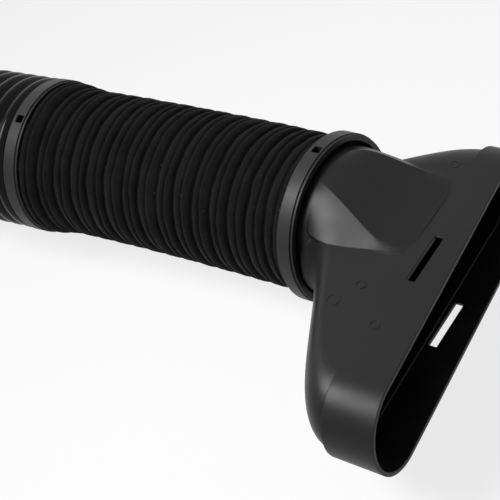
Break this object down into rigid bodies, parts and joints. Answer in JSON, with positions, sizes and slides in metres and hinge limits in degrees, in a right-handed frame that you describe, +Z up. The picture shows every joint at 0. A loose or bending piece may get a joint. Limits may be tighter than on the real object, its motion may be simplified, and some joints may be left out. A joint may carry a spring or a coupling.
{
  "type": "air intake hose",
  "caption": "Air intake hose: flat moulded funnel mouth, ribbed textile sleeve and corrugated plastic tube joined by clamp rings.",
  "frame": {"origin": "centre of the funnel's mouth, in the plane of its rim", "axes": "+X out of the mouth along the neck's axis, +Y across the flat mouth towards its short side, +Z up from the flat face"},
  "size_m": [0.3795, 0.187, 0.0961],
  "materials": {
    "funnel_plastic": "satin moulded black plastic",
    "ring_plastic": "satin moulded dark grey plastic",
    "sleeve_textile": "matt black textile with a short nap",
    "tube_plastic": "glossy black blown plastic"
  },
  "bodies": {
    "root": {"intake_funnel": "funnel_plastic", "front_ring": "ring_plastic", "fabric_sleeve": "sleeve_textile", "rear_ring": "ring_plastic", "corrugated_tube": "tube_plastic"}
  },
  "joints": []
}
